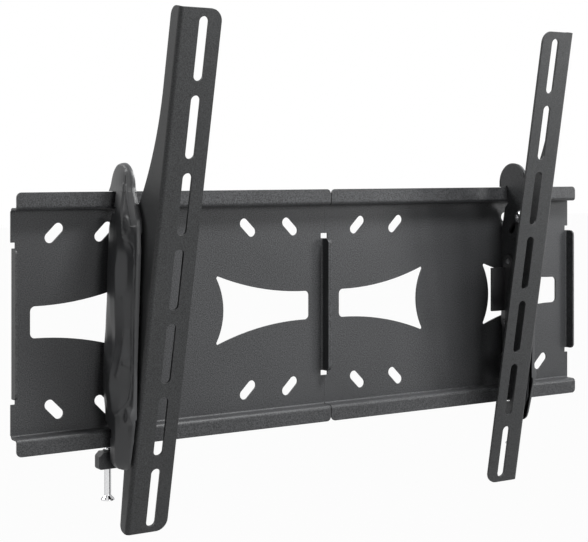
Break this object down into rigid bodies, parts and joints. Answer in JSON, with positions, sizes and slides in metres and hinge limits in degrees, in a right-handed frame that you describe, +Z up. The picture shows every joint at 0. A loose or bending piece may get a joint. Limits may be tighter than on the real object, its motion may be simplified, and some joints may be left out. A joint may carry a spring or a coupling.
{
  "type": "tilting tv wall bracket",
  "caption": "Tilting wall bracket for a flat screen: folded steel wall panels, slotted upright arms that tilt, moulded side covers and lock screws under the hooks.",
  "frame": {"origin": "on the wall plane, at the middle of the two wall panels", "axes": "+X to the viewer's right along the panels, +Y into the wall, +Z up"},
  "size_m": [0.651, 0.1257, 0.4656],
  "materials": {
    "panel_black": "fine-grained dark grey powder coat",
    "arm_black": "fine-grained dark grey powder coat",
    "plate_black": "fine-grained dark grey powder coat",
    "cover_black": "softly shining black moulding",
    "pad_black": "matt black moulding",
    "washer_black": "thin black friction washer",
    "screw_bright": "bright zinc plate",
    "screw_grey": "grey zinc plate"
  },
  "bodies": {
    "wall_plate": {"wall_panel_left": "panel_black", "wall_panel_right": "panel_black"},
    "hook_left": {"hook_plate_left": "plate_black", "side_plate_left": "plate_black", "side_cover_left": "cover_black", "cover_screws_left": "screw_grey", "rest_pad_left": "pad_black", "pad_screws_left": "screw_bright", "lock_block_left": "plate_black"},
    "arm_left": {"tv_arm_left": "arm_black", "upper_tilt_screw_left": "screw_bright", "lower_tilt_screw_left": "screw_grey", "upper_friction_washer_left": "washer_black", "lower_spacer_washer_left": "screw_grey", "upper_washer_left": "screw_grey", "upper_nut_left": "screw_grey", "lower_washer_left": "screw_grey", "lower_nut_left": "screw_grey"},
    "lock_left": {"lock_screw_left": "screw_bright"},
    "hook_right": {"hook_plate_right": "plate_black", "side_plate_right": "plate_black", "side_cover_right": "cover_black", "cover_screws_right": "screw_grey", "rest_pad_right": "pad_black", "pad_screws_right": "screw_bright", "lock_block_right": "plate_black"},
    "arm_right": {"tv_arm_right": "arm_black", "upper_tilt_screw_right": "screw_bright", "lower_tilt_screw_right": "screw_grey", "upper_friction_washer_right": "washer_black", "lower_spacer_washer_right": "screw_grey", "upper_washer_right": "screw_grey", "upper_nut_right": "screw_grey", "lower_washer_right": "screw_grey", "lower_nut_right": "screw_grey"},
    "lock_right": {"lock_screw_right": "screw_bright"}
  },
  "joints": [
    {"name": "hook_slide_left", "type": "slide", "parent": "wall_plate", "child": "hook_left", "axis": [1, 0, 0], "range_m": [-0.07, 0.13]},
    {"name": "arm_tilt_left", "type": "hinge", "parent": "hook_left", "child": "arm_left", "pos_m": [-0.226, -0.0827, 0.0131], "axis": [1, 0, 0], "range_deg": [-17.6, 2.4]},
    {"name": "lock_screw_lift_left", "type": "slide", "parent": "hook_left", "child": "lock_left", "axis": [0, 0, 1], "range_m": [0, 0.014]},
    {"name": "hook_slide_right", "type": "slide", "parent": "wall_plate", "child": "hook_right", "axis": [1, 0, 0], "range_m": [-0.13, 0.07]},
    {"name": "arm_tilt_right", "type": "hinge", "parent": "hook_right", "child": "arm_right", "pos_m": [0.226, -0.0827, 0.0131], "axis": [1, 0, 0], "range_deg": [-15.5, 4.5]},
    {"name": "lock_screw_lift_right", "type": "slide", "parent": "hook_right", "child": "lock_right", "axis": [0, 0, 1], "range_m": [0, 0.014]}
  ]
}
